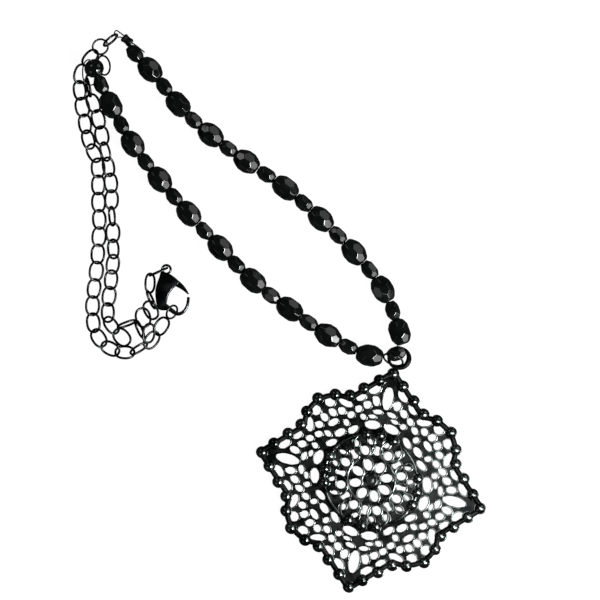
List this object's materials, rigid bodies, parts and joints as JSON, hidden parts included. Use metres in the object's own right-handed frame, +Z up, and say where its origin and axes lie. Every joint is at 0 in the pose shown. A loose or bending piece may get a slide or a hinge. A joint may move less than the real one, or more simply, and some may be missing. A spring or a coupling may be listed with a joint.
{
  "type": "statement necklace",
  "caption": "Black glass bead necklace with a square openwork filigree pendant, a chain of oval links and a lobster clasp with a turning lever, lying flat.",
  "frame": {"origin": "centre of the lying necklace's box, on the surface it lies on", "axes": "+X to the right and +Y towards the ends of the bead string, as seen from straight above; +Z up from the surface"},
  "size_m": [0.1115, 0.1518, 0.0077],
  "materials": {
    "black_glass": "opaque black fire-polished glass, glossy facets",
    "string_wire": "thin dark coated wire",
    "crimp_metal": "dark gunmetal, squeezed",
    "chain_metal": "black plated wire, glossy",
    "clasp_metal": "black plated casting, glossy",
    "pendant_metal": "black plated filigree, glossy with worn highlights"
  },
  "bodies": {
    "necklace": {"large_bead_01": "black_glass", "large_bead_02": "black_glass", "large_bead_03": "black_glass", "large_bead_04": "black_glass", "large_bead_05": "black_glass", "large_bead_06": "black_glass", "large_bead_07": "black_glass", "large_bead_08": "black_glass", "large_bead_09": "black_glass", "large_bead_10": "black_glass", "large_bead_11": "black_glass", "large_bead_12": "black_glass", "large_bead_13": "black_glass", "large_bead_14": "black_glass", "large_bead_15": "black_glass", "large_bead_16": "black_glass", "large_bead_17": "black_glass", "large_bead_18": "black_glass", "small_bead_01": "black_glass", "small_bead_02": "black_glass", "small_bead_03": "black_glass", "small_bead_04": "black_glass", "small_bead_05": "black_glass", "small_bead_06": "black_glass", "small_bead_07": "black_glass", "small_bead_08": "black_glass", "small_bead_09": "black_glass", "small_bead_10": "black_glass", "small_bead_11": "black_glass", "small_bead_12": "black_glass", "small_bead_13": "black_glass", "small_bead_14": "black_glass", "small_bead_15": "black_glass", "small_bead_16": "black_glass", "small_bead_17": "black_glass", "small_bead_18": "black_glass", "small_bead_19": "black_glass", "end_bead": "black_glass", "stringing_wire": "string_wire", "crimp": "crimp_metal", "jump_ring": "chain_metal", "end_ring": "chain_metal", "oval_ring": "chain_metal", "bail_link": "chain_metal", "hook_ring": "chain_metal", "pendant": "pendant_metal", "chain_outer": "chain_metal", "chain_inner": "chain_metal", "chain_tail": "chain_metal", "chain_hook": "chain_metal", "clasp_body": "clasp_metal", "clasp_pin": "clasp_metal"},
    "lever": {"clasp_lever": "clasp_metal"}
  },
  "joints": [
    {"name": "lever_hinge", "type": "hinge", "parent": "necklace", "child": "lever", "pos_m": [-0.0292, 0.0079, 0.0013], "axis": [0, 0, -1], "range_deg": [0, 25], "stiffness_Nm_per_rad": 0.005, "springref_deg": -5.73}
  ]
}
